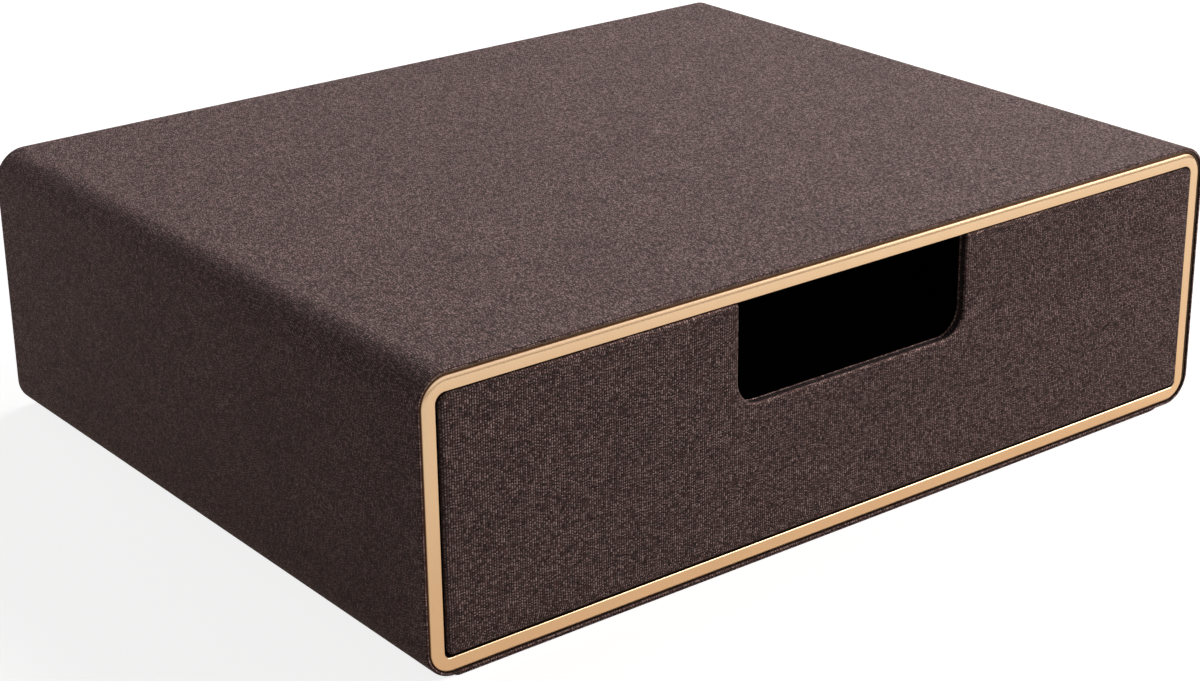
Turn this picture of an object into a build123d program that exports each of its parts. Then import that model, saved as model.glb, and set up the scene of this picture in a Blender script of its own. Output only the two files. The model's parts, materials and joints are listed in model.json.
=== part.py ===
from build123d import *
import os

os.makedirs("parts", exist_ok=True)

# A cloth-covered file box, open at the front, with one drawer.
# Millimetres. +Z is up, the front faces -Y, and the origin is under the middle of the box.

# Case, measured over its cloth
case_width = 330.0
case_depth = 262.0
case_height = 96.1
top_corner_radius = 11.0
bottom_corner_radius = 10.0
case_board = 5.0
cloth = 0.8
cloth_fold_radius = 0.7
case_lining = 0.5
base_sheet_thickness = 0.4

# Metal frame let into the front of the case
rim_width = 1.5  # cloth left showing outside the frame
trim_thickness = 1.6
trim_lip = 0.2  # how far the frame stands in past the lining
trim_groove = 0.2  # open line between the cloth and the frame
trim_drop = 0.4  # the frame sits this much below the middle of the front
trim_edge_radius = 1.0

# Running gaps round the drawer
side_gap = 0.9
under_gap = 0.3
back_gap = 0.4
front_top_gap = 0.6
front_bottom_gap = 1.1
front_proud = 0.8  # the drawer's front stands this far out of the frame

# Drawer front and its finger cut-out
front_board = 2.7
front_edge_radius = 0.75
front_turn_in = 12.0  # cloth folded onto the back of the front board
cutout_width = 97.0
cutout_depth = 34.0
cutout_radius = 9.0

# Drawer box
drawer_board = 3.0
drawer_cloth = 0.5
drawer_wall_height = 74.0
floor_lining = 0.8

# Depths along Y
front_y = (front_proud - case_depth) / 2
back_y = front_y + case_depth
trim_seat_y = front_y + trim_thickness
drawer_front_y = front_y - front_proud
front_thickness = front_board + 2 * cloth
drawer_box_y = drawer_front_y + front_thickness

# Heights along Z
case_bottom = base_sheet_thickness
case_middle = case_bottom + case_height / 2
case_top = case_bottom + case_height

# The wall of the case and the frame that covers its edge
wall = cloth + case_board
lined_wall = wall + case_lining
trim_inset = lined_wall + trim_lip

# Drawer faces
drawer_half_width = case_width / 2 - trim_inset - side_gap
drawer_under = case_bottom + lined_wall + under_gap
drawer_top = drawer_under + drawer_wall_height
drawer_back_y = back_y - lined_wall - back_gap
front_bottom = case_bottom + trim_inset - trim_drop + front_bottom_gap
front_top = case_top - trim_inset - trim_drop - front_top_gap
front_height = front_top - front_bottom
front_middle = (front_top + front_bottom) / 2
front_upper_radius = top_corner_radius - trim_inset - side_gap
front_lower_radius = bottom_corner_radius - trim_inset - side_gap
drawer_floor = drawer_under + drawer_cloth + drawer_board
drawer_skin = drawer_cloth + drawer_board + drawer_cloth
drawer_inner_half = drawer_half_width - drawer_skin
drawer_length = drawer_back_y - drawer_box_y
board_half_width = drawer_half_width - drawer_cloth


def upright(y, z):
    """A plane across the box at depth y, seen from the front, with its middle at height z."""
    return Plane(origin=(0, y, z), x_dir=(1, 0, 0), z_dir=(0, -1, 0))


def rounded(width, height, upper_radius, lower_radius):
    """A rectangle with one radius on its upper corners and one on its lower corners."""
    with BuildSketch(mode=Mode.PRIVATE) as outline:
        Rectangle(width, height)
        fillet(outline.vertices().group_by(Axis.Y)[-1], upper_radius)
        fillet(outline.vertices().group_by(Axis.Y)[0], lower_radius)
    return outline.sketch


def case_outline(inset):
    """The outline of the case, drawn in by an inset."""
    return rounded(
        case_width - 2 * inset,
        case_height - 2 * inset,
        top_corner_radius - inset,
        bottom_corner_radius - inset,
    )


def finish(builder, name):
    """Label one finished piece and write it."""
    builder.part.label = name
    export_step(builder.part, f"parts/{name}.step")


# ---- Case boards: the rounded outline is cut into four walls, rebated for the frame ----

inner_height = case_height - 2 * wall
board_length = case_depth - 2 * cloth
wall_shift = (case_width - case_board) / 2 - cloth
floor_shift = (case_height - case_board) / 2 - cloth
case_walls = {
    "case_top_board": (0, floor_shift, case_width, case_board),
    "case_bottom_board": (0, -floor_shift, case_width, case_board),
    "case_left_board": (-wall_shift, 0, case_board, inner_height),
    "case_right_board": (wall_shift, 0, case_board, inner_height),
}

for name, (x, z, width, height) in case_walls.items():
    with BuildPart() as case_wall:
        with BuildSketch(upright(back_y - cloth, case_middle)):
            add(case_outline(cloth))
            with Locations((x, z)):
                Rectangle(width, height, mode=Mode.INTERSECT)
        extrude(amount=board_length)
        with BuildSketch(upright(trim_seat_y, case_middle - trim_drop)):
            add(case_outline(rim_width - trim_groove))
        extrude(amount=trim_thickness, mode=Mode.SUBTRACT)
    finish(case_wall, name)

with BuildPart() as case_back_board:
    with BuildSketch(upright(back_y - cloth, case_middle)):
        Rectangle(case_width - 2 * wall, inner_height)
    extrude(amount=case_board)
finish(case_back_board, "case_back_board")

# ---- Case cloth: a sleeve that turns in over the front edges, and a panel on the back ----

with BuildPart() as case_cover:
    with BuildSketch(upright(back_y, case_middle)):
        add(case_outline(0))
    extrude(amount=case_depth)
    fillet(case_cover.faces().sort_by(Axis.Y)[0].edges(), cloth_fold_radius)
    with BuildSketch(upright(back_y, case_middle)):
        add(case_outline(cloth))
    extrude(amount=case_depth - cloth, mode=Mode.SUBTRACT)
    with BuildSketch(upright(trim_seat_y, case_middle - trim_drop)):
        add(case_outline(rim_width - trim_groove))
    extrude(amount=trim_thickness, mode=Mode.SUBTRACT)
finish(case_cover, "case_cover")

with BuildPart() as case_back_cover:
    with BuildSketch(upright(back_y, case_middle)):
        add(case_outline(cloth))
    extrude(amount=cloth)
finish(case_back_cover, "case_back_cover")

with BuildPart() as base_sheet:
    with BuildSketch():
        with Locations((0, (front_y + back_y) / 2)):
            Rectangle(case_width - 2 * bottom_corner_radius, case_depth)
    extrude(amount=base_sheet_thickness)
finish(base_sheet, "base_sheet")

# ---- Metal frame: one flat ring with its two front edges rounded ----

with BuildPart() as trim_frame:
    with BuildSketch(upright(trim_seat_y, case_middle - trim_drop)):
        add(case_outline(rim_width))
        add(case_outline(trim_inset), mode=Mode.SUBTRACT)
    extrude(amount=trim_thickness)
    fillet(trim_frame.faces().sort_by(Axis.Y)[0].edges(), trim_edge_radius)
finish(trim_frame, "trim_frame")

# ---- Case lining: five thin sheets, from the frame to the back board ----

lining_length = back_y - wall - trim_seat_y
lining_side_shift = case_width / 2 - wall - case_lining / 2
lining_floor_shift = case_height / 2 - wall - case_lining / 2
lining_width = case_width - 2 * wall
case_linings = {
    "case_top_lining": (0, lining_floor_shift, lining_width, case_lining),
    "case_bottom_lining": (0, -lining_floor_shift, lining_width, case_lining),
    "case_left_lining": (-lining_side_shift, 0, case_lining, inner_height - 2 * case_lining),
    "case_right_lining": (lining_side_shift, 0, case_lining, inner_height - 2 * case_lining),
}

for name, (x, z, width, height) in case_linings.items():
    with BuildPart() as case_sheet:
        with BuildSketch(upright(back_y - wall, case_middle)):
            with Locations((x, z)):
                Rectangle(width, height)
        extrude(amount=lining_length)
    finish(case_sheet, name)

with BuildPart() as case_back_lining:
    with BuildSketch(upright(back_y - wall, case_middle)):
        Rectangle(case_width - 2 * lined_wall, case_height - 2 * lined_wall)
    extrude(amount=case_lining)
finish(case_back_lining, "case_back_lining")

# ---- Drawer front: a board with a finger cut-out, folded into cloth, closed by a lining ----


def front_outline(inset, upper_radius, lower_radius):
    """The drawer front with its cut-out open at the top, drawn in by an inset."""
    with BuildSketch(mode=Mode.PRIVATE) as outline:
        add(rounded(2 * (drawer_half_width - inset), front_height - 2 * inset, upper_radius, lower_radius))
        notch_width = cutout_width + 2 * inset
        notch_radius = cutout_radius + inset
        with Locations((0, front_height / 2 - cutout_depth - inset)):
            RectangleRounded(
                notch_width,
                2 * (cutout_depth + inset),
                notch_radius,
                align=(Align.CENTER, Align.MIN),
                mode=Mode.SUBTRACT,
            )
    return outline.sketch


front_back_y = drawer_front_y + front_thickness

with BuildPart() as drawer_front_board:
    with BuildSketch(upright(front_back_y - cloth, front_middle)):
        add(front_outline(cloth, front_upper_radius - cloth, front_lower_radius - cloth))
    extrude(amount=front_board)
finish(drawer_front_board, "drawer_front_board")

with BuildPart() as drawer_front_cover:
    with BuildSketch(upright(front_back_y, front_middle)):
        add(front_outline(0, front_upper_radius, front_lower_radius))
    extrude(amount=front_thickness)
    fillet(drawer_front_cover.faces().sort_by(Axis.Y)[0].edges(), front_edge_radius)
    add(drawer_front_board.part, mode=Mode.SUBTRACT)
    with BuildSketch(upright(front_back_y, front_middle)):
        add(front_outline(front_turn_in, front_upper_radius, front_lower_radius))
    extrude(amount=cloth, mode=Mode.SUBTRACT)
finish(drawer_front_cover, "drawer_front_cover")

with BuildPart() as drawer_front_lining:
    with BuildSketch(upright(front_back_y, front_middle)):
        add(front_outline(front_turn_in, front_upper_radius, front_lower_radius))
    extrude(amount=cloth)
finish(drawer_front_lining, "drawer_front_lining")

# ---- Drawer box: a bottom board, two sides and a back that stand on it ----

drawer_board_length = drawer_length - drawer_cloth
drawer_board_y = drawer_back_y - drawer_cloth
wall_board_height = drawer_top - drawer_cloth - drawer_floor
side_board_shift = board_half_width - drawer_board / 2

with BuildPart() as drawer_bottom_board:
    with BuildSketch(upright(drawer_board_y, drawer_floor)) as bottom_section:
        Rectangle(2 * board_half_width, drawer_board, align=(Align.CENTER, Align.MAX))
        fillet(bottom_section.vertices().group_by(Axis.Y)[0], front_lower_radius - drawer_cloth)
    extrude(amount=drawer_board_length)
finish(drawer_bottom_board, "drawer_bottom_board")

drawer_sides = []
for name, side in {"drawer_left_board": -1, "drawer_right_board": 1}.items():
    with BuildPart() as drawer_side:
        with BuildSketch(upright(drawer_board_y, drawer_floor)):
            with Locations((side * side_board_shift, 0)):
                Rectangle(drawer_board, wall_board_height, align=(Align.CENTER, Align.MIN))
        extrude(amount=drawer_board_length)
    finish(drawer_side, name)
    drawer_sides.append(drawer_side.part)

with BuildPart() as drawer_back_board:
    with BuildSketch(upright(drawer_board_y, drawer_floor)):
        Rectangle(2 * drawer_inner_half, wall_board_height, align=(Align.CENTER, Align.MIN))
    extrude(amount=drawer_board)
finish(drawer_back_board, "drawer_back_board")

# ---- Drawer cloth: one wrap up and over both sides, one over the back, and a floor sheet ----

with BuildPart() as drawer_body_cover:
    with BuildSketch(upright(drawer_board_y, drawer_under)) as wrap_section:
        Rectangle(2 * drawer_half_width, drawer_wall_height, align=(Align.CENTER, Align.MIN))
        fillet(wrap_section.vertices().group_by(Axis.Y)[0], front_lower_radius)
    extrude(amount=drawer_board_length)
    with BuildSketch(upright(drawer_board_y, drawer_floor)):
        Rectangle(2 * drawer_inner_half, drawer_wall_height, align=(Align.CENTER, Align.MIN))
    extrude(amount=drawer_board_length, mode=Mode.SUBTRACT)
    add([drawer_bottom_board.part, *drawer_sides], mode=Mode.SUBTRACT)
finish(drawer_body_cover, "drawer_body_cover")

with BuildPart() as drawer_back_cover:
    with BuildSketch(upright(drawer_back_y, drawer_under)) as back_section:
        Rectangle(2 * drawer_half_width, drawer_wall_height, align=(Align.CENTER, Align.MIN))
        fillet(back_section.vertices().group_by(Axis.Y)[0], front_lower_radius)
    extrude(amount=drawer_cloth)
    with BuildSketch(upright(drawer_board_y, drawer_floor)):
        Rectangle(2 * drawer_inner_half, drawer_top - drawer_floor, align=(Align.CENTER, Align.MIN))
    extrude(amount=drawer_board + drawer_cloth)
    add(drawer_back_board.part, mode=Mode.SUBTRACT)
finish(drawer_back_cover, "drawer_back_cover")

with BuildPart() as drawer_floor_lining:
    with BuildSketch(upright(drawer_back_y - drawer_skin, drawer_floor)):
        Rectangle(2 * drawer_inner_half, floor_lining, align=(Align.CENTER, Align.MIN))
    extrude(amount=drawer_length - drawer_skin)
finish(drawer_floor_lining, "drawer_floor_lining")
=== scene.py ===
import json
import math

import bmesh
import bpy
from mathutils import Matrix, Vector


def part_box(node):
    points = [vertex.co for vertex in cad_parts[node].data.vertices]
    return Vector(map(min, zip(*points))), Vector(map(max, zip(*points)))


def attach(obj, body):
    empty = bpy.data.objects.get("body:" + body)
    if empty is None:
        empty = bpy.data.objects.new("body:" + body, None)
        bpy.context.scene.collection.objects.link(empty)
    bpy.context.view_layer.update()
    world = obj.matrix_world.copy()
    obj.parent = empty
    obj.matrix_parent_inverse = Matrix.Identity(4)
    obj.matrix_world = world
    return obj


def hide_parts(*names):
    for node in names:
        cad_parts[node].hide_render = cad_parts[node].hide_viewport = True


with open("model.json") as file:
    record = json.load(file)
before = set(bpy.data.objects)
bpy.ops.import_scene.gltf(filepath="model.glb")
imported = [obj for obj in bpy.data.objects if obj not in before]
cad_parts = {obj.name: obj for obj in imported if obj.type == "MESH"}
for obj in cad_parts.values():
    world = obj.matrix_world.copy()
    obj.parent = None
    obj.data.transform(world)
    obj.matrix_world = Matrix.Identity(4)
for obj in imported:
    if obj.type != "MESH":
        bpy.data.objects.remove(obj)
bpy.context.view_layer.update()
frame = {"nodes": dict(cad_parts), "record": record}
mm = 0.001
samePlace = 0.001 * mm  # points nearer than this are one

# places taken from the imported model, in metres
caseLow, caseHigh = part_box("case_cover")
trimLow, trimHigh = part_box("trim_frame")
frontLow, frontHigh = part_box("drawer_front_cover")
wrapLow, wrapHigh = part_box("drawer_body_cover")
backLow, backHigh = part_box("drawer_back_cover")
floorLow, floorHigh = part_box("drawer_floor_lining")


class Wire:
    # one socket of a node tree; sums and products of wires add Math nodes

    def __init__(self, tree, socket=None):
        self.tree = tree
        self.socket = socket

    def node(self, kind, settings=None, inputs=None, output=0):
        made = self.tree.nodes.new(kind)
        for key, value in (settings or {}).items():
            if key == "stops":
                self.setStops(made.color_ramp.elements, value)
            else:
                setattr(made, key, value)
        for key, value in (inputs or {}).items():
            if isinstance(value, Wire):
                self.tree.links.new(value.socket, made.inputs[key])
            else:
                made.inputs[key].default_value = value
        return Wire(self.tree, made.outputs[output] if made.outputs else None)

    def setStops(self, ramp, stops):
        for place, (position, color) in enumerate(stops):
            stop = ramp[place] if place < 2 else ramp.new(position)
            stop.position = position
            stop.color = (*color, 1)

    def math(self, operation, *values):
        return self.node("ShaderNodeMath", {"operation": operation}, dict(enumerate((self, *values))))

    def swapped(self, operation, value):
        return self.node("ShaderNodeMath", {"operation": operation}, {0: value, 1: self})

    def clamped(self):
        return self.math("MAXIMUM", 0).math("MINIMUM", 1)

    def __add__(self, value):
        return self.math("ADD", value)

    def __sub__(self, value):
        return self.math("SUBTRACT", value)

    def __rsub__(self, value):
        return self.swapped("SUBTRACT", value)

    def __mul__(self, value):
        return self.math("MULTIPLY", value)

    def __truediv__(self, value):
        return self.math("DIVIDE", value)

    __radd__ = __add__
    __rmul__ = __mul__


def newMaterial(name):
    material = bpy.data.materials.new(name)
    material.use_nodes = True
    material.node_tree.nodes.clear()
    return material, Wire(material.node_tree)


def opaque(color):
    # written colours have three numbers, and sockets want four
    return color if isinstance(color, Wire) else (*color, 1)


def tint(start, factor, first, second):
    # a colour between two others
    inputs = {0: factor, 6: opaque(first), 7: opaque(second)}
    return start.node("ShaderNodeMix", {"data_type": "RGBA"}, inputs, 2)


def shade(start, color, tone):
    # a colour times a number
    mix = {"data_type": "RGBA", "blend_type": "MULTIPLY"}
    return start.node("ShaderNodeMix", mix, {0: 1.0, 6: opaque(color), 7: tone}, 2)


def noise(start, place, scale, detail=2.0, roughness=0.5, dimensions="3D"):
    inputs = {"Vector": place, "Scale": scale, "Detail": detail, "Roughness": roughness}
    return start.node("ShaderNodeTexNoise", {"noise_dimensions": dimensions}, inputs)


def flatNoise(start, place, scale, detail=2.0):
    return noise(start, place, scale, detail, dimensions="2D")


def spot(start, x, y, z=0.0):
    return start.node("ShaderNodeCombineXYZ", None, {0: x, 1: y, 2: z})


def axis(start, place, number):
    return start.node("ShaderNodeSeparateXYZ", None, {0: place}, number)


def objectPlace(start):
    return start.node("ShaderNodeTexCoord", output="Object")


def clothPlace(start):
    # each mesh carries a map in metres, as if its cloth or bar were laid out flat
    return start.node("ShaderNodeUVMap", {"uv_map": "weave"})


def chance(start, x, y):
    # an even random number for each pair of numbers
    return start.node("ShaderNodeTexWhiteNoise", {"noise_dimensions": "2D"}, {"Vector": spot(start, x, y)})


def paintedLight(start):
    # kept on each mesh: above 0 is painted shade, 1 deepest in a joint, groove or the inside, and below 0
    # is a painted highlight along a ridge
    return start.node("ShaderNodeAttribute", {"attribute_name": "paintedLight"}, output="Fac")


def finishMaterial(start, surface, height, depth):
    surface["Normal"] = start.node("ShaderNodeBump", None, {"Distance": depth, "Height": height})
    shader = start.node("ShaderNodeBsdfPrincipled", None, surface)
    start.node("ShaderNodeOutputMaterial", None, {"Surface": shader})


coverCloth = {
    "warpPitch": 0.85 * mm,
    "weftPitch": 0.45 * mm,
    "pit": (0.020, 0.009, 0.008),
    "warp": (0.315, 0.228, 0.216),
    "weft": (0.098, 0.052, 0.048),
    "relief": 0.2 * mm,
    "roughness": 0.82,
}
innerCloth = {
    "warpPitch": 0.6 * mm,
    "weftPitch": 0.5 * mm,
    "pit": (0.006, 0.005, 0.005),
    "warp": (0.060, 0.050, 0.048),
    "weft": (0.026, 0.021, 0.020),
    "relief": 0.08 * mm,
    "roughness": 0.88,
}
weave = {
    "warpWander": 0.5,  # how far threads stray from a straight line, in pitches
    "weftWander": 0.9,
    "warpWanderScale": 160,
    "weftWanderScale": 220,
    "stagger": 2,  # how far along a warp's crossings may be shifted, in pitches
    "skipped": 0.2,  # share of the crossings where a thread is passed over
    "slub": 0.6,  # thick and thin stretches to a crossing
    "slubStagger": 2.7,
    "draws": {"stagger": 0.5, "skipped": 7, "slub": 3},  # keep these rules' random numbers apart
    "warpTaper": 2.7,  # 2 is a thread as wide as its pitch, and more leaves gaps
    "weftTaper": 2.2,
    "weftRise": 0.8,
    "wave": 0.5,  # how much higher a thread is where it passes over
    "pitLevel": 0.25,  # below this height only the pits' colour shows
    "pitFade": 0.9,
    "crossingTone": 1.35,  # how much crossings, slubs and fibres differ in tone
    "slubTone": 0.55,
    "fibreTone": 0.2,
    "fibreScale": (2600, 2200),  # across and along
    "cloudScale": 30,
    "cloudTone": (0.85, 0.3),  # the least tone, and what clouds add to it
    "paintedLightTone": 0.8,  # how strongly the painted shade darkens the cloth, and the painted highlight lightens it
    "crossingRelief": 0.4,
    "specular": 0.175,
}


def threadRound(fromMiddle, taper):
    return (1 - (fromMiddle * taper).math("POWER", 2)).math("MAXIMUM", 0).math("SQRT")


def wovenMaterial(name, cloth):
    # plain weave of pale warp over dark weft, laid along the piece's own cloth map
    material, start = newMaterial(name)
    laid = clothPlace(start)
    across, along = axis(start, laid, 0), axis(start, laid, 1)
    draws, slubs = weave["draws"], weave["slub"]

    warpNoise = flatNoise(start, laid, weave["warpWanderScale"], 1.0) - 0.5
    weftNoise = flatNoise(start, spot(start, along, across), weave["weftWanderScale"], 1.0) - 0.5
    warpAt = across / cloth["warpPitch"] + warpNoise * weave["warpWander"]
    warpThread = warpAt.math("FLOOR")
    stagger = weave["stagger"] * chance(start, warpThread, draws["stagger"])
    weftAt = along / cloth["weftPitch"] + weftNoise * weave["weftWander"] + stagger
    weftThread = weftAt.math("FLOOR")
    fromWarp = warpAt - warpThread - 0.5
    fromWeft = weftAt - weftThread - 0.5
    skip = chance(start, weftThread + draws["skipped"], warpThread) * (1 / (1 - weave["skipped"]))
    over = 1 - 2 * (warpThread + weftThread + skip.math("FLOOR")).math("FLOORED_MODULO", 2)
    crossing = chance(start, warpThread, weftThread)
    slubAlong = weftAt * slubs + weave["slubStagger"] * chance(start, warpThread, draws["slub"])
    slub = chance(start, (warpAt * slubs).math("FLOOR"), slubAlong.math("FLOOR"))

    # the round top of each thread, higher where it passes over
    wave = weave["wave"] * over
    warpTop = threadRound(fromWarp, weave["warpTaper"]) + wave * (fromWeft * math.pi).math("COSINE")
    weftRound = weave["weftRise"] * threadRound(fromWeft, weave["weftTaper"])
    weftTop = weftRound - wave * (fromWarp * math.pi).math("COSINE")
    warpShows = warpTop.math("GREATER_THAN", weftTop)
    height = warpTop.math("MAXIMUM", weftTop)

    fibreAcross, fibreAlong = weave["fibreScale"]
    fibre = flatNoise(start, spot(start, across * fibreAcross, along * fibreAlong), 1, 1.0)
    cloud = flatNoise(start, laid, weave["cloudScale"])
    yarn = tint(start, warpShows, cloth["weft"], cloth["warp"])
    raised = ((height - weave["pitLevel"]) * weave["pitFade"]).clamped()
    tone = weave["crossingTone"] * crossing + weave["slubTone"] * slub + weave["fibreTone"] * fibre
    least, clouded = weave["cloudTone"]
    # painted shade darkens joints, grooves and the inside, and painted highlight lightens ridges
    tone = tone * (1 - weave["paintedLightTone"] * paintedLight(start)) * (least + clouded * cloud)
    surface = {
        "Base Color": shade(start, tint(start, raised, cloth["pit"], yarn), tone),
        "Roughness": cloth["roughness"],
        "Specular IOR Level": weave["specular"],
    }
    finishMaterial(start, surface, height + weave["crossingRelief"] * crossing, cloth["relief"])
    return material


looseThread = {
    "color": (0.23, 0.18, 0.165),
    "unevenScale": 900,
    "fibreScale": 6000,
    "tone": (0.35, 1.0, 0.4),  # the least tone, and what unevenness and fibres add to it
    "relief": 0.04 * mm,
    "roughness": 0.8,
    "specular": 0.25,
}


def threadMaterial(name, thread):
    # thread ends along a fold, each a little lighter or darker
    material, start = newMaterial(name)
    place = objectPlace(start)
    uneven = noise(start, place, thread["unevenScale"])
    fibre = noise(start, place, thread["fibreScale"])
    least, fromUneven, fromFibre = thread["tone"]
    surface = {
        "Base Color": shade(start, thread["color"], least + fromUneven * uneven + fromFibre * fibre),
        "Roughness": thread["roughness"],
        "Specular IOR Level": thread["specular"],
    }
    finishMaterial(start, surface, fibre, thread["relief"])
    return material


satinBrass = {
    "color": (0.74, 0.52, 0.32),
    "worn": (0.60, 0.38, 0.21),
    # the colour of the painted shade along the metal's joints
    "paintedShade": (0.045, 0.018, 0.008),
    "wornShare": (0.1, 0.3),  # the least share, and what clouds add to it
    "paintedShadeShare": (0.85, 0.3),
    "roughness": 0.17,  # where it is smoothest
    "cloudRoughness": 0.08,
    "drawnRoughness": 0.05,
    "shadeLineRoughness": 0.3,
    "drawnScale": (9000, 60),  # across and along the bar
    "cloudScale": 60,
    "grainScale": 2500,
    "grainRelief": 0.6,
    "relief": 0.0018 * mm,
}


def brassMaterial(name, brass):
    # pale gold plating, faintly drawn along the bar and cloudy with handling
    material, start = newMaterial(name)
    place, bar = objectPlace(start), clothPlace(start)
    drawnAcross, drawnAlong = brass["drawnScale"]
    lines = spot(start, axis(start, bar, 0) * drawnAcross, axis(start, bar, 1) * drawnAlong)
    drawn = flatNoise(start, lines, 1)
    cloud = noise(start, place, brass["cloudScale"], 3.0)
    grain = noise(start, place, brass["grainScale"])
    leastWorn, clouded = brass["wornShare"]
    leastTarnish, grained = brass["paintedShadeShare"]
    plated = tint(start, leastWorn + clouded * cloud, brass["color"], brass["worn"])
    # painted shade: dark along the joint with the cloth and on the side by the drawer, broken by grain, and
    # rougher there
    paintedShade = paintedLight(start)
    shadeCover = paintedShade * (leastTarnish + grained * grain)
    rough = brass["roughness"] + brass["cloudRoughness"] * cloud + brass["drawnRoughness"] * drawn
    surface = {
        "Base Color": tint(start, shadeCover, plated, brass["paintedShade"]),
        "Metallic": 1.0,
        "Roughness": rough + brass["shadeLineRoughness"] * paintedShade,
    }
    finishMaterial(start, surface, drawn + brass["grainRelief"] * grain, brass["relief"])
    return material


fibreboard = {
    "dark": (0.33, 0.23, 0.14),
    "pale": (0.50, 0.37, 0.25),
    "wisp": {"scale": 350, "detail": 4.0, "roughness": 0.65},
    "fibre": {"scale": 2200, "detail": 3.0, "roughness": 0.7},
    "tone": (0.6, 0.75),  # the least tone, and what fibres add to it
    "relief": 0.06 * mm,
    "roughness": (0.72, 0.25),  # the least, and what wisps add to it
    "specular": 0.2,
}


def boardMaterial(name, board):
    # pressed fibre: short pale and dark fibres in a soft buff ground
    material, start = newMaterial(name)
    place = objectPlace(start)
    wisp = noise(start, place, **board["wisp"])
    fibre = noise(start, place, **board["fibre"])
    leastTone, fibred = board["tone"]
    smoothest, wisped = board["roughness"]
    ground = tint(start, wisp, board["dark"], board["pale"])
    surface = {
        "Base Color": shade(start, ground, leastTone + fibred * fibre),
        "Roughness": smoothest + wisped * wisp,
        "Specular IOR Level": board["specular"],
    }
    finishMaterial(start, surface, fibre, board["relief"])
    return material


flockedPaper = {
    "color": (0.034, 0.029, 0.030),
    "pile": {"scale": 3200, "roughness": 0.7},
    "nap": {"scale": 55, "detail": 3.0},
    "tone": (0.3, 0.9, 0.5),  # the least tone, and what pile and nap add to it
    "relief": 0.08 * mm,
    "roughness": (0.86, 0.12),  # the least, and what the pile adds to it
    "specular": 0.15,
}


def liningMaterial(name, paper):
    material, start = newMaterial(name)
    place = objectPlace(start)
    pile = noise(start, place, **paper["pile"])
    nap = noise(start, place, **paper["nap"])
    leastTone, fromPile, fromNap = paper["tone"]
    smoothest, piled = paper["roughness"]
    surface = {
        "Base Color": shade(start, paper["color"], leastTone + fromPile * pile + fromNap * nap),
        "Roughness": smoothest + piled * pile,
        "Specular IOR Level": paper["specular"],
    }
    finishMaterial(start, surface, pile, paper["relief"])
    return material


coverMaterial = wovenMaterial("brownSlubCloth", coverCloth)
innerMaterial = wovenMaterial("darkDrawerCloth", innerCloth)
foldMaterial = threadMaterial("foldedThreadEnds", looseThread)
trimMaterial = brassMaterial("satinPaleGold", satinBrass)
woodMaterial = boardMaterial("pressedFibreboard", fibreboard)
paperMaterial = liningMaterial("flockedLining", flockedPaper)
print("finishes made")


def roundedPath(corners, inset, steps, sharpen=1.0):
    # the outline drawn in by an inset: places, and the directions that lead out of the piece
    # sharpen is how much a corner's radius loses for each unit of inset
    path = []
    for index, (x, y, radius) in enumerate(corners):
        corner = Vector((x, y))
        arriving = (corner - Vector(corners[index - 1][:2])).normalized()
        leaving = (Vector(corners[(index + 1) % len(corners)][:2]) - corner).normalized()
        turn = math.copysign(1, arriving.cross(leaving))
        first = Vector((-arriving.y, arriving.x))
        second = Vector((-leaving.y, leaving.x))
        bendRadius = max(radius - turn * inset * sharpen, 0)
        centre = corner + (inset + turn * bendRadius) * (first + second)
        for step in range(steps + 1):
            angle = step / steps * math.pi / 2
            spoke = first * math.cos(angle) + second * math.sin(angle)
            path.append((centre - turn * bendRadius * spoke, -spoke))
    return path


def boxCorners(low, high, upper, lower):
    return [
        (low.x, low.z, lower),
        (high.x, low.z, lower),
        (high.x, high.z, upper),
        (low.x, high.z, upper),
    ]


def bend(start, corner, end, steps=6):
    # a quarter of an ellipse from start to end, round the inside of a corner
    start, corner, end = Vector(start), Vector(corner), Vector(end)
    centre = start + end - corner
    turns = [step / steps * math.pi / 2 for step in range(steps + 1)]
    return [centre + (start - centre) * math.cos(turn) + (end - centre) * math.sin(turn) for turn in turns]


def marked(points, *paintedLevels):
    # points of a profile as (inset, depth, painted light), above 0 painted shade and below 0 painted
    # highlight; where none is given it is 0
    return [(*point, depth) for point, depth in zip(points, [*paintedLevels, *[0] * len(points)])]


def panelProfile(face, rear, edge, inset=0, flat=2, steps=6, paintedLevels=()):
    # a thin sheet's profile: from its flat face, over its round edge and down its side
    side = face + math.copysign(edge, rear - face)
    profile = [(inset + flat * edge, face)]
    profile += bend((inset + edge, face), (inset, face), (inset, side), steps)
    profile += [(inset, rear)]
    return marked(profile, *paintedLevels)


def frontal(across, up, depth):
    return Vector((across, depth, up))


def level(across, back, depth):
    return Vector((across, back, -depth))


def flatten(point, place):
    return (point.x, point.z) if place is frontal else (point.x, point.y)


def ringOf(mesh, path, depth, place):
    # points that fall together at a sharp corner share one vertex
    ring = []
    for corner, outward in path:
        point = place(corner.x, corner.y, depth)
        if not ring or (point - ring[-1].co).length > samePlace:
            ring.append(mesh.verts.new(point))
        else:
            ring.append(ring[-1])
    return ring


def distances(points):
    # how far round a closed line of points each one lies
    reached = [0.0]
    for before, after in zip(points, points[1:] + points[:1]):
        reached.append(reached[-1] + (after - before).length)
    return reached


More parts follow.
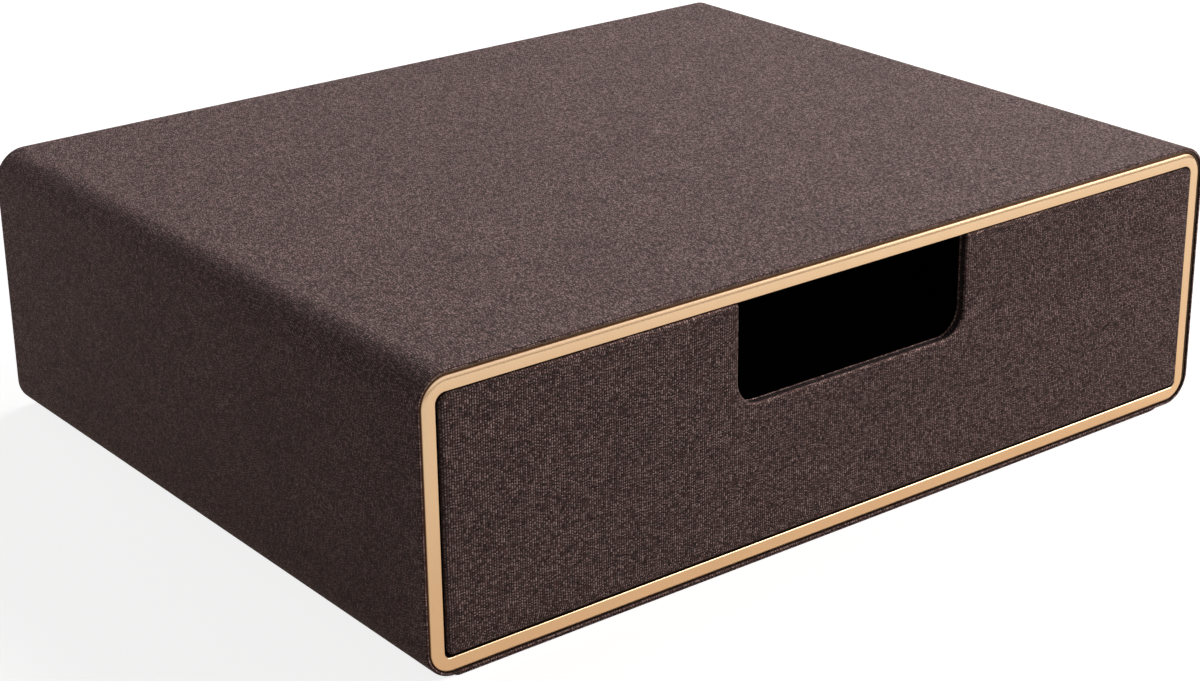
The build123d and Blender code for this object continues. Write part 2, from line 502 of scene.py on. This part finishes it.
def sweepRings(mesh, corners, profile, place=frontal, steps=8, closed=False, flatEnd=-1, sharpen=1.0):
    # rings of the outline, each at its own inset and depth, skinned from the first to the last
    weaveMap = mesh.loops.layers.uv.verify()
    paintedLightLayer = mesh.verts.layers.float["paintedLight"]
    paths = [roundedPath(corners, inset, steps, sharpen) for inset, depth, paintedLevel in profile]
    rings = []
    for path, (inset, depth, paintedLevel) in zip(paths, profile):
        rings.append(ringOf(mesh, path, depth, place))
        for vert in rings[-1]:
            vert[paintedLightLayer] = paintedLevel
    count = len(rings[0])
    run = distances([Vector((inset, depth)) for inset, depth, paintedLevel in profile])
    lap = distances([point for point, outward in roundedPath(corners, 0, steps)])

    def laidFlat(ring, point):
        # closed skins unroll along and round the outline, others spread out from their flat face
        if closed:
            return Vector((run[ring], lap[point]))
        edge, outward = paths[flatEnd][point % count]
        return edge + outward * abs(run[ring] - run[flatEnd % len(profile)])

    for ring in range(len(rings) if closed else len(rings) - 1):
        for point in range(count):
            around = {}
            for r, p in ((ring, point), (ring, point + 1), (ring + 1, point + 1), (ring + 1, point)):
                around.setdefault(rings[r % len(rings)][p % count], laidFlat(r, p))
            if len(around) > 2:
                face = mesh.faces.new(around)
                face.smooth = True
                for loop, flat in zip(face.loops, around.values()):
                    loop[weaveMap].uv = flat
    if not closed:
        for ring, order in ((rings[0], -1), (rings[-1], 1)):
            cap = mesh.faces.new(list(dict.fromkeys(ring[::order])))
            for loop in cap.loops:
                loop[weaveMap].uv = flatten(loop.vert.co, place)
            cap.normal_update()
            bmesh.ops.triangulate(mesh, faces=[cap], ngon_method="EAR_CLIP")


def newShape():
    mesh = bmesh.new()
    mesh.loops.layers.uv.new("weave")
    mesh.verts.layers.float.new("paintedLight")
    return mesh


def meshData(name, mesh, *materials):
    data = bpy.data.meshes.new(name)
    mesh.to_mesh(data)
    mesh.free()
    for material in materials:
        data.materials.append(material)
    return data


def addObject(name, data):
    made = bpy.data.objects.new(name, data)
    bpy.context.scene.collection.objects.link(made)
    return made


def addPiece(name, data, body):
    piece = addObject(name, data)
    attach(piece, body)
    return piece


def addSkin(name, mesh, material, body, node):
    piece = addPiece(name, meshData(name, mesh, material), body)
    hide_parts(node)


caseCloth = {
    "upperRadius": 11 * mm,
    "lowerRadius": 10 * mm,
    "thickness": 0.8 * mm,
    "fold": 0.65 * mm,  # the cloth's bend over the front edge
    "rim": 1.05 * mm,  # cloth turned in beside the metal
    "rimEdge": 0.35 * mm,
    "rimDepth": 0.455 * mm,  # how far back that bend runs
    "backEdge": 0.5 * mm,
    "backJoint": 0.25 * mm,  # open line round the panel on the back
    "foldSteps": 8,
    "foldPaintedHighlight": (0, 0, 0, 0, 0, -0.8, -0.8, -0.8, -0.8),  # ring by ring along the bend, with a painted highlight where it turns onto the front
    # painted highlight on the rim's ridge, then painted shade down into the groove beside the metal
    "rimHighlightAndShade": (-0.8, 0, 0, 0, 0.2, 0.7, 1),
    # painted shade down the panel's edge into the open line round it
    "backJointShade": (0, 0, 0, 0, 0, 0, 0.4, 1, 1),
    "cornerSteps": 14,
}


def makeCaseCloth(cloth):
    corners = boxCorners(caseLow, caseHigh, cloth["upperRadius"], cloth["lowerRadius"])
    front, back, steps = caseLow.y, caseHigh.y, cloth["cornerSteps"]
    skin, fold, rim = cloth["thickness"], cloth["fold"], cloth["rim"]
    edge, deep, backEdge = cloth["rimEdge"], cloth["rimDepth"], cloth["backEdge"]
    # painted shade fills the inside of the sleeve, from its back edge
    profile = marked([(skin, back)], 1)
    profile += marked(bend((backEdge, back), (0, back), (0, back - backEdge)))
    frontBend = bend((0, front + fold), (0, front), (fold, front), cloth["foldSteps"])
    profile += marked(frontBend, *cloth["foldPaintedHighlight"])
    profile += marked(bend((rim - edge, front), (rim, front), (rim, front + deep)), *cloth["rimHighlightAndShade"])
    # painted shade on the rim's inner wall and the inside behind the metal
    profile += marked([(rim, front + skin), (skin, front + skin)], 1, 1)
    mesh = newShape()
    sweepRings(mesh, corners, profile, steps=steps, closed=True)
    addSkin("caseSleeveCloth", mesh, coverMaterial, "case", "case_cover")

    profile = panelProfile(back, back - skin, backEdge, skin + cloth["backJoint"], paintedLevels=cloth["backJointShade"])
    mesh = newShape()
    sweepRings(mesh, corners, profile, steps=steps, flatEnd=0)
    addSkin("caseBackCloth", mesh, coverMaterial, "case", "case_back_cover")


makeCaseCloth(caseCloth)
print("case cloth made")


baseSheet = {
    "edge": 0.12 * mm,
    "shownCorner": 1.5 * mm,  # the front left one, which peeps out in the photo
    "corner": 9 * mm,
    "cornerSteps": 5,
}


def makeBaseSheet(sheet):
    low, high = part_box("base_sheet")
    corner = sheet["corner"]
    corners = [
        (low.x, low.y, sheet["shownCorner"]),
        (high.x, low.y, corner),
        (high.x, high.y, corner),
        (low.x, high.y, corner),
    ]
    mesh = newShape()
    profile = panelProfile(-low.z, -high.z, sheet["edge"])
    sweepRings(mesh, corners, profile, level, steps=sheet["cornerSteps"], flatEnd=0)
    addSkin("baseSheetCloth", mesh, coverMaterial, "case", "base_sheet")


makeBaseSheet(baseSheet)
print("base sheet made")


metalFrame = {
    "upperRadius": 9.5 * mm,
    "lowerRadius": 8.5 * mm,
    "width": 5.2 * mm,
    "spread": 0.2 * mm,  # how far the bar fills the open line round it
    "outerSlope": (2.3 * mm, 0.85 * mm),  # across the bar, and into its depth
    "innerSlope": (0.3 * mm, 0.2 * mm),
    "slopeCurve": 1.6,
    "slopeSteps": 16,
    "paintedShadeReach": 0.55 * mm,  # how far the painted shade of the dark joint line reaches onto the metal
    "paintedShadeFade": 0.25 * mm,
    "innerPaintedShade": (0.85, 0.3, 0.1),  # painted shade, from the side next to the drawer onto the face
    "innerCorner": 3.2 * mm,
    "cornerSteps": 16,
}


def slope(metal, kind):
    # from the edge of a bar up to its flat face: how far in, and how far below the face
    reach, depth = metal[kind]
    shares = [step / metal["slopeSteps"] for step in range(metal["slopeSteps"] + 1)]
    return [(share * reach, depth * (1 - share) ** metal["slopeCurve"]) for share in shares]


def makeMetalFrame(metal):
    spread = Vector((metal["spread"], 0, metal["spread"]))
    corners = boxCorners(trimLow - spread, trimHigh + spread, metal["upperRadius"], metal["lowerRadius"])
    front, back, width = trimLow.y, trimHigh.y, metal["width"]
    paintedShadeReach, paintedShadeFade = metal["paintedShadeReach"], metal["paintedShadeFade"]
    outer = [(0, back)]
    outer += [(across, front + below) for across, below in slope(metal, "outerSlope")]
    inner = [(width, back)]
    inner += [(width - across, front + below) for across, below in slope(metal, "innerSlope")]
    # painted shade, full at the outer edge and fading out across the bar
    paintedShade = [min(max(1 - (across - paintedShadeReach) / paintedShadeFade, 0), 1) for across, depth in outer]
    profile = marked(outer, *paintedShade) + marked(inner, *metal["innerPaintedShade"])[::-1]
    mesh = newShape()
    sharpen = (metal["upperRadius"] - metal["innerCorner"]) / width
    sweepRings(mesh, corners, profile, steps=metal["cornerSteps"], closed=True, sharpen=sharpen)
    addSkin("goldFrame", mesh, trimMaterial, "case", "trim_frame")


makeMetalFrame(metalFrame)
print("metal frame made")


drawerFront = {
    "upperRadius": 3.6 * mm,
    "lowerRadius": 2.6 * mm,
    "cutoutWidth": 97 * mm,
    "cutoutDepth": 34 * mm,
    "cutoutRadius": 9 * mm,
    "cutoutLip": 0.6 * mm,
    "thickness": 0.8 * mm,
    "fold": 0.85 * mm,
    "softness": 0.12 * mm,  # how far the face falls away towards its edges
    "faceSlope": ((2, 0.35), (4, 0)),  # distance from the edge in folds, and share of that fall left
    "hollow": 0.45 * mm,  # the edge sinks between the front and rear folds
    "hollowRear": ((0.5, 0.1 * mm), (1, 0.5 * mm)),  # share of the hollow, and distance from the fold
    "hollowFront": ((1, 0.9 * mm), (0.4, 0.35 * mm)),
    "turnIn": 12 * mm,
    "turnInEdge": 0.3 * mm,
    "turnInSteps": 3,
    "topLap": 0.3 * mm,  # the cloth stands a little above the board's top edge
    "sideLap": 0.3 * mm,
    "rearPaintedHighlight": (0, 0, 0, 0, -2.25, -2.25, -2.25),  # ring by ring, a painted highlight at the fold's edge
    # painted shade in the hollow between the front and rear folds
    "hollowPaintedShade": (0.9, 1, 1, 0.7),
    "foldSteps": 8,
    # a painted highlight along the front fold
    "frontPaintedHighlight": (0, -1.3, -1.3, -1.3, -1.3, -1.3),
    "highlightReach": 1 * mm,  # how far beside the cut-out its ridges keep their painted highlight
    "shadedSide": 0.65,  # how dark the painted shade makes the fold beside the metal
    "shadedTop": 0.45,
    "shadedReach": 2.2,  # in folds
    "liningGap": 0.1 * mm,
    "liningEdge": 0.4 * mm,
    "liningSteps": 4,
    "cornerSteps": 12,
}


def drawerFrontCorners(front):
    half, bottom = front["cutoutWidth"] / 2, frontHigh.z - front["cutoutDepth"]
    lap = Vector((front["sideLap"], 0, front["topLap"]))
    low, high = Vector((frontLow.x - lap.x, 0, frontLow.z)), frontHigh + lap
    corners = boxCorners(low, high, front["upperRadius"], front["lowerRadius"])
    notch = [
        (half, high.z, front["cutoutLip"]),
        (half, bottom, front["cutoutRadius"]),
        (-half, bottom, front["cutoutRadius"]),
        (-half, high.z, front["cutoutLip"]),
    ]
    return corners[:3] + notch + corners[3:]


def paintShadeOnOuterFold(mesh, front):
    # the ridges keep their painted highlight only round the cut-out, and painted shade darkens the outer
    # fold where it passes the metal
    paintedLightLayer = mesh.verts.layers.float["paintedLight"]
    reach = front["shadedReach"] * front["fold"]
    side = frontHigh.x + front["sideLap"] - reach
    top = frontHigh.z + front["topLap"] - reach
    for vert in mesh.verts:
        across, up = abs(vert.co.x), vert.co.z
        if across > front["cutoutWidth"] / 2 + front["highlightReach"]:
            shaded = max(front["shadedSide"] * (across - side), front["shadedTop"] * (up - top)) / reach
            vert[paintedLightLayer] = max(vert[paintedLightLayer], shaded, 0)


def makeDrawerFront(front):
    corners, steps = drawerFrontCorners(front), front["cornerSteps"]
    skin, fold, soft, dip = front["thickness"], front["fold"], front["softness"], front["hollow"]
    turnIn, turnInEdge = front["turnIn"], front["turnInEdge"]
    face, rear = frontLow.y, frontHigh.y
    frontFold, rearFold = face + soft + fold, rear - fold
    profile = marked([(skin, face + skin), (skin, rear - skin), (turnIn, rear - skin)])
    inward, sideways = (turnIn, rear - turnInEdge), (turnIn - turnInEdge, rear)
    profile += marked(bend(inward, (turnIn, rear), sideways, front["turnInSteps"]))
    profile += marked(bend((fold, rear), (0, rear), (0, rearFold)), *front["rearPaintedHighlight"])
    hollow = [(share * dip, rearFold - reach) for share, reach in front["hollowRear"]]
    hollow += [(share * dip, frontFold + reach) for share, reach in front["hollowFront"]]
    profile += marked(hollow, *front["hollowPaintedShade"])
    frontBend = bend((0, frontFold), (0, face + soft), (fold, face + soft), front["foldSteps"])
    profile += marked(frontBend, *front["frontPaintedHighlight"])
    profile += marked([(reach * fold, face + share * soft) for reach, share in front["faceSlope"]])
    mesh = newShape()
    sweepRings(mesh, corners, profile, steps=steps)
    paintShadeOnOuterFold(mesh, front)
    addSkin("drawerFrontCloth", mesh, coverMaterial, "drawer", "drawer_front_cover")

    inset = turnIn + front["liningGap"]
    profile = panelProfile(rear, rear - skin, front["liningEdge"], inset, steps=front["liningSteps"])
    mesh = newShape()
    sweepRings(mesh, corners, profile, steps=steps, flatEnd=0)
    addSkin("drawerFrontBacking", mesh, paperMaterial, "drawer", "drawer_front_lining")


makeDrawerFront(drawerFront)
print("drawer front made")


drawerBox = {
    "wall": 4 * mm,
    "skin": 0.5 * mm,
    "topEdge": 1.0 * mm,
    "floorEdge": 0.3 * mm,
    "lowerRadius": 2.6 * mm,
    "sheetEdge": 0.25 * mm,
    "sheetFlat": 3,  # where the flat of a sheet begins, in edges
    "sheetSteps": 3,
    "cornerSteps": 6,
    "faceSteps": 4,
}


def makeDrawerBox(box):
    # one cloth up and over both sides
    inner, floor, skin = wrapHigh.x - box["wall"], floorLow.z, box["skin"]
    topEdge, floorEdge, lower = box["topEdge"], box["floorEdge"], box["lowerRadius"]
    steps, sheetSteps = box["cornerSteps"], box["sheetSteps"]
    corners = [
        (wrapLow.x, wrapLow.z, lower),
        (wrapHigh.x, wrapLow.z, lower),
        (wrapHigh.x, wrapHigh.z, topEdge),
        (inner, wrapHigh.z, topEdge),
        (inner, floor, floorEdge),
        (-inner, floor, floorEdge),
        (-inner, wrapHigh.z, topEdge),
        (wrapLow.x, wrapHigh.z, topEdge),
    ]
    profile = marked([(0, wrapHigh.y), (0, wrapLow.y), (skin, wrapLow.y), (skin, wrapHigh.y)])
    mesh = newShape()
    sweepRings(mesh, corners, profile, steps=steps, closed=True)
    addSkin("drawerWrapCloth", mesh, innerMaterial, "drawer", "drawer_body_cover")

    # the back: a panel outside, and a turned-over face inside
    edge, flat, joint = box["sheetEdge"], box["sheetFlat"], backHigh.y - skin
    mesh = newShape()
    corners = boxCorners(backLow, backHigh, topEdge, lower)
    profile = panelProfile(backHigh.y, joint, edge, flat=flat, steps=sheetSteps)
    sweepRings(mesh, corners, profile, steps=steps, flatEnd=0)
    faceLow, faceHigh = Vector((-inner, 0, floor)), Vector((inner, 0, backHigh.z))
    corners = boxCorners(faceLow, faceHigh, topEdge, floorEdge)
    profile = panelProfile(backLow.y, joint, topEdge)[::-1]
    sweepRings(mesh, corners, profile, steps=box["faceSteps"])
    addSkin("drawerBackCloth", mesh, innerMaterial, "drawer", "drawer_back_cover")

    # the sheet on the drawer's floor
    corners = [
        (floorLow.x, floorLow.y, floorEdge),
        (floorHigh.x, floorLow.y, floorEdge),
        (floorHigh.x, floorHigh.y, floorEdge),
        (floorLow.x, floorHigh.y, floorEdge),
    ]
    profile = panelProfile(-floorHigh.z, -floorLow.z, edge, flat=flat, steps=sheetSteps)[::-1]
    mesh = newShape()
    sweepRings(mesh, corners, profile, level, steps=sheetSteps)
    addSkin("drawerFloorSheet", mesh, paperMaterial, "drawer", "drawer_floor_lining")


makeDrawerBox(drawerBox)
print("drawer box made")


foldThreads = {
    "pitch": 0.85 * mm,
    "thickness": 0.2 * mm,
    "lift": 0.03 * mm,
    "startAngle": 5,  # degrees round the fold
    "sweepAngle": 75,
    "sides": 6,  # also the steps along a thread
    "unevenness": 0.3,
    "liftShare": 0.25,  # how much of that also lifts a thread
    "seed": 5,
    "cornerSteps": 12,
}


def threadTree(threads):
    # one short bent thread on every pitch of a path, over the edge from its side to its face
    tree = bpy.data.node_groups.new("threadsOverFold", "GeometryNodeTree")
    inputs = (
        ("Geometry", "NodeSocketGeometry"),
        ("Pitch", "NodeSocketFloat"),
        ("Bend", "NodeSocketFloat"),
        ("Thickness", "NodeSocketFloat"),
        ("Unevenness", "NodeSocketFloat"),
        ("Facing", "NodeSocketVector"),
        ("Seed", "NodeSocketInt"),
        ("Material", "NodeSocketMaterial"),
    )
    for name, kind in inputs:
        tree.interface.new_socket(name=name, in_out="INPUT", socket_type=kind)
    tree.interface.new_socket(name="Geometry", in_out="OUTPUT", socket_type="NodeSocketGeometry")
    start = Wire(tree)
    source = start.node("NodeGroupInput").socket.node

    def given(name):
        return Wire(tree, source.outputs[name])

    path = start.node("GeometryNodeMeshToCurve", None, {0: given("Geometry")})
    spacing = {"Curve": path, "Length": given("Pitch")}
    spaced = start.node("GeometryNodeResampleCurve", {"mode": "LENGTH"}, spacing)
    bent = {
        "Resolution": threads["sides"],
        "Radius": given("Bend"),
        "Start Angle": math.radians(threads["startAngle"]),
        "Sweep Angle": math.radians(threads["sweepAngle"]),
    }
    arc = start.node("GeometryNodeCurveArc", None, bent)
    section = {"Resolution": threads["sides"], "Radius": given("Thickness") / 2}
    ring = start.node("GeometryNodeCurvePrimitiveCircle", None, section)
    swept = {"Curve": arc, "Profile Curve": ring, "Fill Caps": True}
    tube = start.node("GeometryNodeCurveToMesh", None, swept)
    crossed = {0: start.node("GeometryNodeInputTangent"), 1: (0.0, -1.0, 0.0)}
    outward = start.node("ShaderNodeVectorMath", {"operation": "CROSS_PRODUCT"}, crossed)
    axes = {"primary_axis": "X", "secondary_axis": "Y"}
    turn = start.node("FunctionNodeAxesToRotation", axes, {0: outward, 1: given("Facing")})
    spread = given("Unevenness")
    sizes = {2: 1 - spread, 3: 1 + spread, "Seed": given("Seed")}
    size = start.node("FunctionNodeRandomValue", {"data_type": "FLOAT"}, sizes, 1)
    lifted = 1 + (size - 1) * threads["liftShare"]
    instances = {
        "Points": spaced,
        "Instance": tube,
        "Rotation": turn,
        "Scale": spot(start, lifted, lifted, size),
    }
    placed = start.node("GeometryNodeInstanceOnPoints", None, instances)
    real = start.node("GeometryNodeRealizeInstances", None, {0: placed})
    finish = {"Geometry": real, "Material": given("Material")}
    dressed = start.node("GeometryNodeSetMaterial", None, finish)
    start.node("NodeGroupOutput", None, {0: dressed})
    return tree


def makeThreads(name, tree, threads, depth, facing):
    # the path round the cut-out is a row of edges, which the tree turns into threads
    fold, perCorner = drawerFront["fold"], threads["cornerSteps"] + 1
    outline = roundedPath(drawerFrontCorners(drawerFront), fold, threads["cornerSteps"])
    cutout = outline[3 * perCorner:7 * perCorner]  # its four corners come after the first three
    mesh = bmesh.new()
    points = [mesh.verts.new(frontal(corner.x, corner.y, depth)) for corner, outward in cutout]
    for before, after in zip(points, points[1:]):
        mesh.edges.new((before, after))
    bmesh.ops.remove_doubles(mesh, verts=mesh.verts, dist=samePlace)
    guide = addObject(name + "Path", meshData(name + "Path", mesh))
    modifier = guide.modifiers.new("threads", "NODES")
    modifier.node_group = tree
    values = {
        "Pitch": threads["pitch"],
        "Bend": fold - threads["thickness"] / 2 + threads["lift"],
        "Thickness": threads["thickness"],
        "Unevenness": threads["unevenness"],
        "Facing": facing,
        "Seed": threads["seed"],
        "Material": foldMaterial,
    }
    for item in tree.interface.items_tree:
        if item.in_out == "INPUT" and item.name in values:
            modifier[item.identifier] = values[item.name]
    evaluated = guide.evaluated_get(bpy.context.evaluated_depsgraph_get())
    data = bpy.data.meshes.new_from_object(evaluated)
    data.name = name
    bpy.data.objects.remove(guide)
    for face in data.polygons:
        face.use_smooth = True
    addPiece(name, data, "drawer")


threadsOverFold = threadTree(foldThreads)
frontDepth = frontLow.y + drawerFront["softness"] + drawerFront["fold"]
rearDepth = frontHigh.y - drawerFront["fold"]
makeThreads("drawerFrontThreads", threadsOverFold, foldThreads, frontDepth, (0.0, -1.0, 0.0))
makeThreads("drawerRearThreads", threadsOverFold, foldThreads, rearDepth, (0.0, 1.0, 0.0))
print("fold threads made")


def dress(name, material):
    node = frame["nodes"][name]
    if not node.material_slots:
        node.data.materials.append(material)
    for slot in node.material_slots:
        slot.material = material


# boards and case linings are shown as they were cut
cutFinishes = {"board": woodMaterial, "lining": paperMaterial}
for entry in frame["record"]["subparts"]:
    name, slot = entry["node"], entry["material_slot"]
    if slot in cutFinishes and not frame["nodes"][name].hide_render:
        dress(name, cutFinishes[slot])
print("boards and linings dressed")


studio = {
    "floorReach": 6.0,
    "floorSides": 64,
    "floorLight": 0.36,  # how much light the floor gives back to the object
    "floorGlow": 0.84,
    "roomLight": (0.109, 0.099, 0.096),
    "backdrop": (0.96, 0.96, 0.96),
    "mirrored": [(0.04, (0.34, 0.27, 0.21)), (0.24, (1.2, 1.22, 1.3))],  # what metal shows, by height
    "reflectedFootShade": (0.87, 0.745, 0.615),  # painted shade and warmth that metal shows of the floor at the box's foot
    "floorFar": (0.93, 0.94, 0.95),
    "nearReach": 0.22,
    # painted light: what metal shows of the floor grows brighter to the right
    "reflectedRightLight": 0.12,
    "lampAim": (0, 0, 0.05),
}


def rays(start, kind):
    return start.node("ShaderNodeLightPath", output=kind)


def seenRays(start):
    return rays(start, "Is Camera Ray").math("MAXIMUM", rays(start, "Is Transmission Ray"))


def whiteRays(start):
    # rays that see the pale studio itself rather than its light
    return seenRays(start).math("MAXIMUM", rays(start, "Is Glossy Ray"))


def floorMaterial(room):
    material, start = newMaterial("paleFloor")
    gray = room["floorLight"]
    matt = start.node("ShaderNodeBsdfDiffuse", None, {"Color": (gray, gray, gray, 1)})
    place = objectPlace(start)
    right, back = axis(start, place, 0), axis(start, place, 1)
    away = ((caseLow.y - back) / room["nearReach"]).clamped()
    aside = ((right - caseLow.x) / (caseHigh.x - caseLow.x)).clamped()
    # glossy rays see a painted reflection: shade and warmth at the box's foot, and more light to the right
    mirrored = tint(start, away, room["reflectedFootShade"], room["floorFar"])
    mirrored = shade(start, mirrored, 1 + room["reflectedRightLight"] * aside)
    shown = tint(start, rays(start, "Is Glossy Ray"), (1, 1, 1), mirrored)
    strength = whiteRays(start) * room["floorGlow"]
    glow = start.node("ShaderNodeEmission", None, {"Color": shown, "Strength": strength})
    both = start.node("ShaderNodeAddShader", None, {0: matt, 1: glow})
    start.node("ShaderNodeOutputMaterial", None, {"Surface": both})
    return material


def makeFloor(room):
    mesh = bmesh.new()
    bmesh.ops.create_circle(mesh, cap_ends=True, radius=room["floorReach"], segments=room["floorSides"])
    addObject("studioFloor", meshData("studioFloor", mesh, floorMaterial(room)))


def makeRoom(room):
    world = bpy.data.worlds.new("paleRoom")
    world.use_nodes = True
    world.node_tree.nodes.clear()
    start = Wire(world.node_tree)
    direction = start.node("ShaderNodeTexCoord", output="Generated")
    up = axis(start, direction, 2)
    mirrored = start.node("ShaderNodeValToRGB", {"stops": room["mirrored"]}, {0: up})
    color = tint(start, rays(start, "Is Glossy Ray"), room["roomLight"], mirrored)
    color = tint(start, seenRays(start), color, room["backdrop"])
    background = start.node("ShaderNodeBackground", None, {"Color": color})
    start.node("ShaderNodeOutputWorld", None, {"Surface": background})
    bpy.context.scene.world = world


lamps = {
    "overhead": {"at": (2.1, 0.75, 1.5), "size": (1.8, 1.8), "power": 47, "color": (1, 1, 1)},
    "frontRight": {"at": (1.8, -1.05, 1.3), "size": (1.4, 1.4), "power": 41, "color": (1, 0.93, 0.9)},
    "leftBack": {"at": (-0.5, 0.42, 0.15), "size": (0.4, 0.2), "power": 0.24, "color": (1, 1, 1)},
}


def makeLamps(room):
    for name, lamp in lamps.items():
        light = bpy.data.lights.new(name, "AREA")
        light.shape = "RECTANGLE"
        light.size, light.size_y = lamp["size"]
        light.energy = lamp["power"]
        light.color = lamp["color"]
        holder = addObject(name, light)
        aim = Vector(room["lampAim"]) - Vector(lamp["at"])
        turned = aim.to_track_quat("-Z", "Y").to_matrix().to_4x4()
        holder.matrix_world = Matrix.Translation(lamp["at"]) @ turned
        holder.visible_camera = False


camera = {
    "at": (-0.516191, -0.669791, 0.366419),  # where the box's edges fall as in the photo
    "heading": 37.6023,  # degrees clockwise from +Y
    "downward": 22.0323,
    "roll": -0.7166,
    "lens": 76.40,
    "sensor": 36,
}


def makeCamera(view):
    data = bpy.data.cameras.new("photoCamera")
    data.lens = view["lens"]
    data.sensor_width = view["sensor"]
    holder = addObject("photoCamera", data)
    holder.matrix_world = (
        Matrix.Translation(view["at"])
        @ Matrix.Rotation(-math.radians(view["heading"]), 4, "Z")
        @ Matrix.Rotation(math.radians(90 - view["downward"]), 4, "X")
        @ Matrix.Rotation(math.radians(view["roll"]), 4, "Z")
    )
    bpy.context.scene.camera = holder


makeFloor(studio)
makeRoom(studio)
makeLamps(studio)
makeCamera(camera)
bpy.context.scene.view_settings.view_transform = "Standard"
print("studio made")
